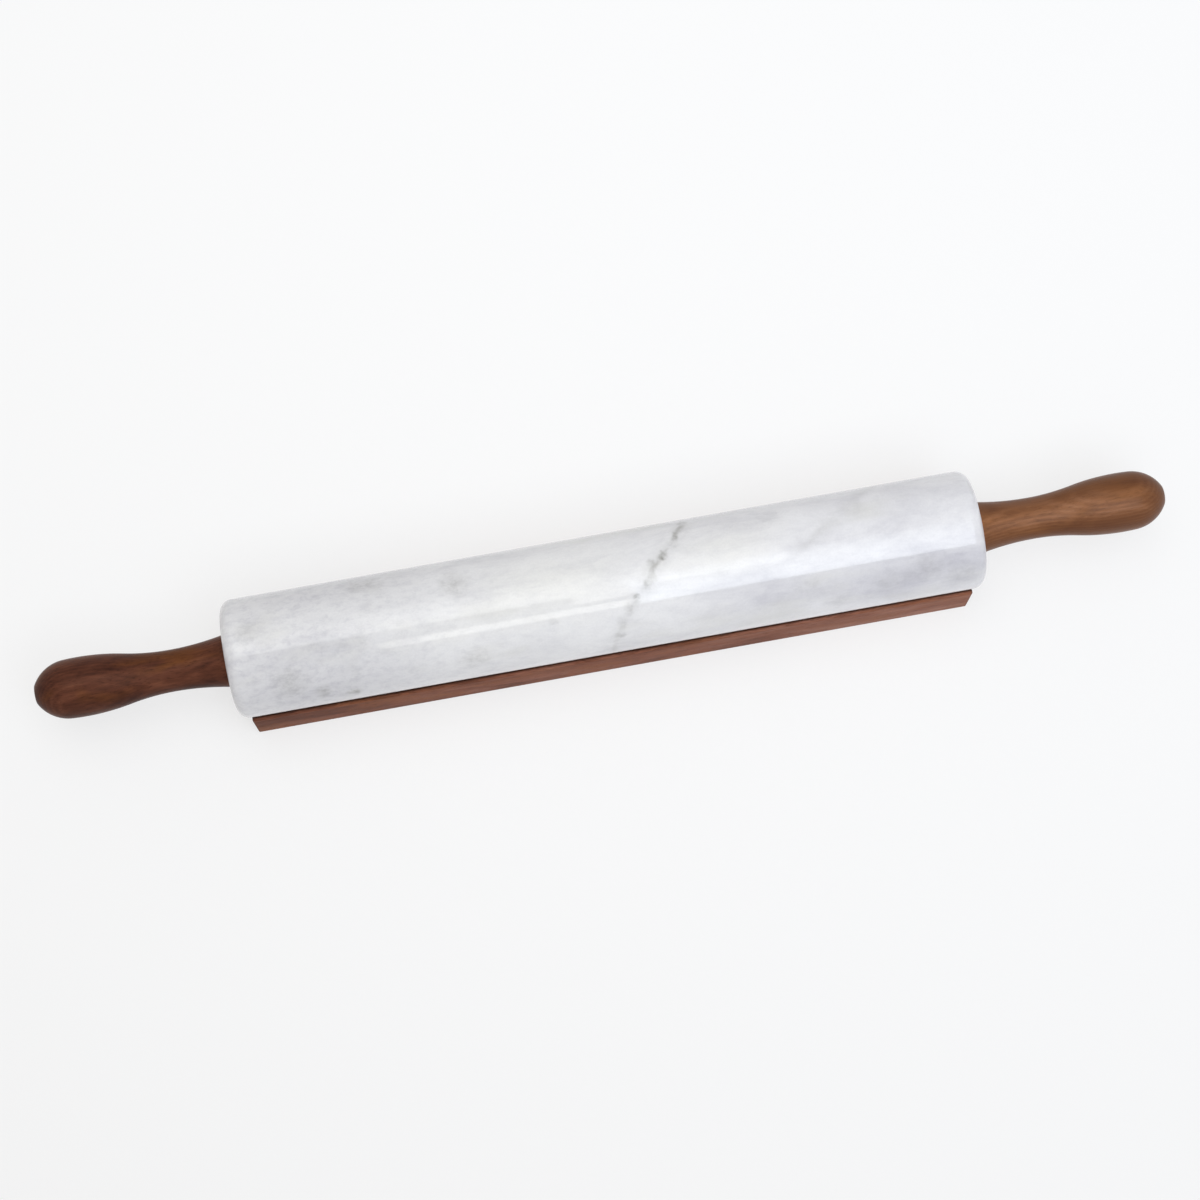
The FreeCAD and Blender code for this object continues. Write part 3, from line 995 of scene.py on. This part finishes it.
@dataclass
class Handle:
    """A turned handle: flared base, waist, bulb and a small flat tip, with the holes for the hardware."""

    side: Side
    finish: WoodFinish
    base_place: float = 190.5 * MM
    length: float = 96.5 * MM
    waist_radius: float = 10.5 * MM
    waist_place: float = 28 * MM
    flare: float = 2.8 * MM
    swell: float = 4.5 * MM
    bulb_to_tip: float = 23 * MM
    shoulder_to_tip: float = 16 * MM
    tip_radius: float = 4.5 * MM
    base_rounding: float = 0.5 * MM
    tip_rounding: float = 0.6 * MM
    washer_radius: float = 10.05 * MM
    washer_depth: float = 1.5 * MM
    insert_radius: float = 7.05 * MM
    insert_depth: float = 29.5 * MM
    flare_steps: int = 14
    waist_steps: int = 12
    bulb_steps: int = 16
    end_steps: int = 16
    faces_round: int = 96
    rounding_segments: int = 4
    smooth_angle: float = math.radians(35)

    def point(self, along: float, out: float) -> Vector:
        """A point of the outline, from its place along the handle and its distance from the axis."""
        return Vector((self.side.value * (self.base_place + along), 0.0, AXIS_HEIGHT + out))

    def build(self, grain_group: bpy.types.NodeTree) -> None:
        """Turn the handle from an outline of tangent arcs.

        Args:
            grain_group: The wood_grain group.
        """
        base_radius = self.waist_radius + self.flare
        base, tip = self.point(0.0, 0.0), self.point(self.length, 0.0)
        start = self.point(self.insert_depth, 0.0)
        outline = Outline(self.side.node("grip"), start, Vector((0.0, 1.0, 0.0)))
        for along, out in ((self.insert_depth, self.insert_radius), (self.washer_depth, self.insert_radius),
                           (self.washer_depth, self.washer_radius), (0.0, self.washer_radius),
                           (0.0, base_radius)):
            outline.line_to(self.point(along, out))
        self.draw_grip(outline)
        outline.line_to(tip)
        outline.turn(self.faces_round)
        outline.bevel(lambda edge: on_circle(edge, base.x, base_radius), self.base_rounding,
                      self.rounding_segments)
        outline.bevel(lambda edge: on_circle(edge, tip.x, self.tip_radius), self.tip_rounding,
                      self.rounding_segments)
        piece = outline.finish(self.smooth_angle)
        dress(piece, self.finish.material(grain_group))
        install(piece, self.side.node("handle"), "axle", self.side.node("handle_wood"))

    def draw_grip(self, outline: Outline) -> None:
        """Draw the grip's arcs, each tangent to the next, from the base's rim to the tip's.

        Args:
            outline: The line so far, which ends at the base's rim.
        """
        bulb_place = self.length - self.bulb_to_tip
        shoulder_place = self.length - self.shoulder_to_tip
        crest_radius = self.waist_radius + self.swell
        flare_curve = (self.waist_place ** 2 + self.flare ** 2) / (2 * self.flare)
        bulb_run = bulb_place - self.waist_place
        bulb_curve = (bulb_run ** 2 + self.swell ** 2) / (4 * self.swell)

        waist = self.point(self.waist_place, self.waist_radius)
        crest = self.point(bulb_place, crest_radius)
        tip = self.point(self.length, self.tip_radius)
        shoulder_run = shoulder_place - bulb_place
        shoulder_drop = bulb_curve - math.sqrt(bulb_curve ** 2 - shoulder_run ** 2)
        shoulder = self.point(shoulder_place, crest_radius - shoulder_drop)
        flare_centre = self.point(self.waist_place, self.waist_radius + flare_curve)
        waist_centre = self.point(self.waist_place, self.waist_radius + bulb_curve)
        bulb_centre = self.point(bulb_place, crest_radius - bulb_curve)
        outwards = (shoulder - bulb_centre) / bulb_curve
        drop = shoulder - tip
        end_curve = drop.length_squared / (2 * drop.dot(outwards))

        outline.arc_to(flare_centre, waist, self.flare_steps)
        outline.arc_to(waist_centre, (waist + crest) / 2, self.waist_steps)
        outline.arc_to(bulb_centre, shoulder, self.bulb_steps)
        outline.arc_to(shoulder - outwards * end_curve, tip, self.end_steps)


@dataclass
class Cradle:
    """The wooden block that the pin lies in, with a round trough and eased edges."""

    finish: WoodFinish
    length: float = 368 * MM
    floor: float = 10.5 * MM
    trough_depth: float = 19 * MM
    trough_radius: float = 30.3 * MM
    lip: float = 2.4 * MM
    edge_radius: float = 0.8 * MM
    edge_segments: int = 4
    trough_steps: int = 64
    sharp_angle: float = math.radians(20)
    smooth_angle: float = math.radians(30)

    def build(self, grain_group: bpy.types.NodeTree) -> None:
        """Draw the section, run it along X and ease its edges.

        Args:
            grain_group: The wood_grain group.
        """
        height = self.floor + self.trough_depth
        centre_height = self.floor + self.trough_radius
        half_mouth = math.sqrt(self.trough_radius ** 2 - (centre_height - height) ** 2)
        half_width = half_mouth + self.lip
        start = -self.length / 2
        front_lip = Vector((start, -half_mouth, height))
        outline = Outline("cradle_block", front_lip, PIN_AXIS)
        for across, up in ((-half_width, height), (-half_width, 0.0), (half_width, 0.0),
                           (half_width, height), (half_mouth, height)):
            outline.line_to(Vector((start, across, up)))
        outline.arc_to(Vector((start, 0.0, centre_height)), front_lip, self.trough_steps)
        outline.draw_out(Vector((self.length, 0.0, 0.0)))
        outline.bevel(lambda edge: edge.calc_face_angle(0.0) > self.sharp_angle, self.edge_radius,
                      self.edge_segments)
        piece = outline.finish(self.smooth_angle)
        dress(piece, self.finish.material(grain_group))
        install(piece, "cradle", "cradle", "cradle_wood")


@dataclass
class Hardware:
    """The bearings and fixings inside, which stay as CAD solids."""

    axle: TurnedFinish = TurnedFinish(
        "ground_steel", srgb(190, 191, 194), srgb(168, 169, 173), 1.0, Turning.AROUND, 5000.0, (0.22, 0.38))
    washer: TurnedFinish = TurnedFinish(
        "faced_steel", srgb(184, 186, 190), srgb(160, 162, 166), 1.0, Turning.FACED, 6000.0, (0.26, 0.42))
    insert: TurnedFinish = TurnedFinish(
        "turned_brass", srgb(214, 180, 105), srgb(190, 152, 84), 1.0, Turning.AROUND, 4000.0, (0.24, 0.4))
    bush: TurnedFinish = TurnedFinish(
        "turned_nylon", srgb(226, 223, 212), srgb(212, 208, 195), 0.0, Turning.FACED, 5000.0, (0.42, 0.56))

    def build(self, mark_group: bpy.types.NodeTree) -> None:
        """Dress every inner CAD node.

        Args:
            mark_group: The tool_marks group.
        """
        dress(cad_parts["axle_rod"], self.axle.material(mark_group))
        LOG.info("axle_rod: dressed in %s", self.axle.name)
        paired = {"washer": self.washer, "handle_insert": self.insert, "bushing": self.bush}
        for name, finish in paired.items():
            material = finish.material(mark_group)
            for side in Side:
                dress(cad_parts[side.node(name)], material)
                LOG.info("%s: dressed in %s", side.node(name), finish.name)


# Studio


@dataclass(frozen=True)
class Panel:
    """A soft light panel: the middle of its face, what it faces, its size, its glow and its whole spread."""

    name: str
    middle: Point
    aim: Point
    width: float
    depth: float
    glow: float
    colour: Colour
    spread: float = math.pi


@dataclass
class Studio:
    """A pale floor, soft panels and the camera."""

    floor_radius: float = 6.0
    floor_corners: int = 128
    floor_albedo: float = 0.93
    floor_white_share: float = 0.65
    floor_fade: Span = (0.5, 1.4)
    ambient: float = 0.48
    ambient_colour: Colour = (0.995, 0.984, 0.995)
    camera_place: Point = (-0.0616, -0.3276, 1.4799)
    camera_aim: Point = (-0.0024, -0.0027, 0.0408)
    lens: float = 88.44
    sensor: float = 36.0
    panels: tuple[Panel, ...] = (
        Panel("rear_panel", (-0.25, 0.33, 1.4), (-0.25, 0.33, 0.0), 1.05, 1.1, 2.5,
              (1.0, 1.0, 0.955), math.radians(76)),
        Panel("right_panel", (0.56, -0.346, 1.603), (0.56, 0.661, -0.008), 0.92, 1.64, 4.7,
              (0.83, 0.905, 1.0), math.radians(90)),
        Panel("front_strip", (-0.07, -1.045, 1.46), (-0.07, 0.0, 0.05), 0.35, 0.37, 2.6,
              (1.0, 1.0, 0.93)),
        Panel("middle_panel", (0.055, -0.41, 1.4), (0.055, -0.41, 0.0), 0.072, 0.38, 2.2,
              (1.0, 1.0, 0.97)),
    )

    def build(self) -> None:
        """Set the stage."""
        bpy.context.scene.view_settings.view_transform = "Standard"
        self.add_floor()
        self.add_world()
        for panel in self.panels:
            self.add_panel(panel)
        self.add_camera()

    def add_floor(self) -> None:
        """Lay a round white floor that fades to plain white far from the object."""
        bpy.ops.object.select_all(action="DESELECT")
        bpy.ops.mesh.primitive_circle_add(
            vertices=self.floor_corners, radius=self.floor_radius, fill_type="NGON")
        floor = bpy.context.object
        floor.name = "studio_floor"
        made = bpy.data.materials.new("studio_white")
        sheet = cleared(made)
        matte = sheet.node("ShaderNodeBsdfDiffuse", rgba((self.floor_albedo,) * 3))
        white = sheet.node("ShaderNodeEmission")
        distance = sheet.vector("LENGTH", object_coordinates(sheet))
        white_share = sheet.spread(distance, *self.floor_fade, self.floor_white_share, 1.0)
        white_share = sheet.math("MULTIPLY", self.seen_directly(sheet), white_share)
        sheet.show(sheet.node("ShaderNodeMixShader", white_share, matte.outputs[0], white.outputs[0]))
        dress(floor, made)
        floor.select_set(False)

    def seen_directly(self, sheet: NodeSheet) -> Socket:
        """Tell rays that show the backdrop from those that carry diffuse light.

        Args:
            sheet: The nodes of the floor or the world.

        Returns:
            1 for a ray from the camera, a gloss or a glass, and 0 for any other.
        """
        path = sheet.node("ShaderNodeLightPath")
        either = sheet.math("MAXIMUM", path.outputs["Is Camera Ray"], path.outputs["Is Glossy Ray"])
        return sheet.math("MAXIMUM", either, path.outputs["Is Transmission Ray"])

    def add_world(self) -> None:
        """Light the room evenly, and show it white."""
        world = bpy.data.worlds.new("studio_room")
        bpy.context.scene.world = world
        sheet = cleared(world)
        backdrop = sheet.node("ShaderNodeBackground")
        seen = self.seen_directly(sheet)
        sheet.fill(backdrop, Color=sheet.blend(seen, rgba(self.ambient_colour), rgba((1.0, 1.0, 1.0))),
                   Strength=sheet.math("MULTIPLY_ADD", seen, 1.0 - self.ambient, self.ambient))
        sheet.show(backdrop, "ShaderNodeOutputWorld")

    def add_panel(self, panel: Panel) -> None:
        """Hang one soft panel.

        Args:
            panel: The panel.
        """
        light = bpy.data.lights.new(panel.name, "AREA")
        light.shape = "RECTANGLE"
        light.size = panel.width
        light.size_y = panel.depth
        light.energy = panel.glow * math.pi * panel.width * panel.depth * self.spread_share(panel.spread)
        light.color = panel.colour
        light.spread = panel.spread
        self.hang(light, panel.middle, panel.aim).visible_camera = False
        LOG.info("%s: %.0f W", panel.name, light.energy)

    def spread_share(self, spread: float) -> float:
        """How much less power a panel with a narrowed spread needs for the same glow seen straight on.

        Args:
            spread: The panel's whole spread.

        Returns:
            A share of the power of a panel that spreads all the way.
        """
        half = spread / 2
        return 1.0 if spread >= math.pi else 1.0 - half / math.tan(half)

    def add_camera(self) -> None:
        """Set the camera where the photograph was taken from."""
        camera = bpy.data.cameras.new("photo_camera")
        camera.lens = self.lens
        camera.sensor_width = self.sensor
        bpy.context.scene.camera = self.hang(camera, self.camera_place, self.camera_aim)

    def hang(self, held: Union[bpy.types.Light, bpy.types.Camera], place: Point,
             aim: Point) -> bpy.types.Object:
        """Put a light or a camera in the scene, turned to a point.

        Args:
            held: The light or camera.
            place: Where it goes.
            aim: What it faces.

        Returns:
            The object that holds it.
        """
        holder = bpy.data.objects.new(held.name, held)
        holder.location = place
        holder.rotation_euler = (Vector(aim) - Vector(place)).to_track_quat("-Z", "Y").to_euler()
        bpy.context.scene.collection.objects.link(holder)
        return holder


LEFT_WOOD = WoodFinish(
    "left_handle_hardwood", dark=srgb(60, 32, 24), middle=srgb(100, 59, 43), light=srgb(132, 83, 62),
    tint=srgb(116, 69, 33), pith=(0.0, 31 * MM, 12 * MM), side_shade_share=0.35,
    shade_across=(0.0, 0.956, 0.292), specular=0.06)
RIGHT_WOOD = WoodFinish(
    "right_handle_hardwood", dark=srgb(92, 54, 32), middle=srgb(143, 95, 62), light=srgb(174, 124, 91),
    tint=srgb(152, 98, 52), pith=(0.0, -24 * MM, 2 * MM), patch_share=0.55, tint_share=0.6,
    fibre_share=0.14, pore_share=0.18, side_shade_share=0.68, side_shade_depth=9.5 * MM,
    shade_across=(0.0, 0.981, 0.195), end_share=0.75, specular=0.14)
CRADLE_WOOD = WoodFinish(
    "cradle_hardwood", dark=srgb(78, 44, 33), middle=srgb(136, 87, 68), light=srgb(168, 122, 105),
    tint=srgb(147, 94, 64), pith=(0.0, 12 * MM, -46 * MM), drift=1.0, patch_share=0.5, tint_share=0.5,
    end_span=(182.6 * MM, 183.9 * MM), gap_shade_share=0.85, roughness=(0.55, 0.7), specular=0.06)


def main() -> None:
    """Build the studio, the pin and the cradle, and report each piece."""
    logging.basicConfig(level=logging.INFO, format="%(name)s: %(message)s")
    grain_group = wood_grain_group()
    mark_group = tool_mark_group()
    Studio().build()
    Barrel().build()
    Handle(Side.LEFT, LEFT_WOOD).build(grain_group)
    Handle(Side.RIGHT, RIGHT_WOOD).build(grain_group)
    Cradle(CRADLE_WOOD).build(grain_group)
    Hardware().build(mark_group)


if __name__ == "__main__":
    main()
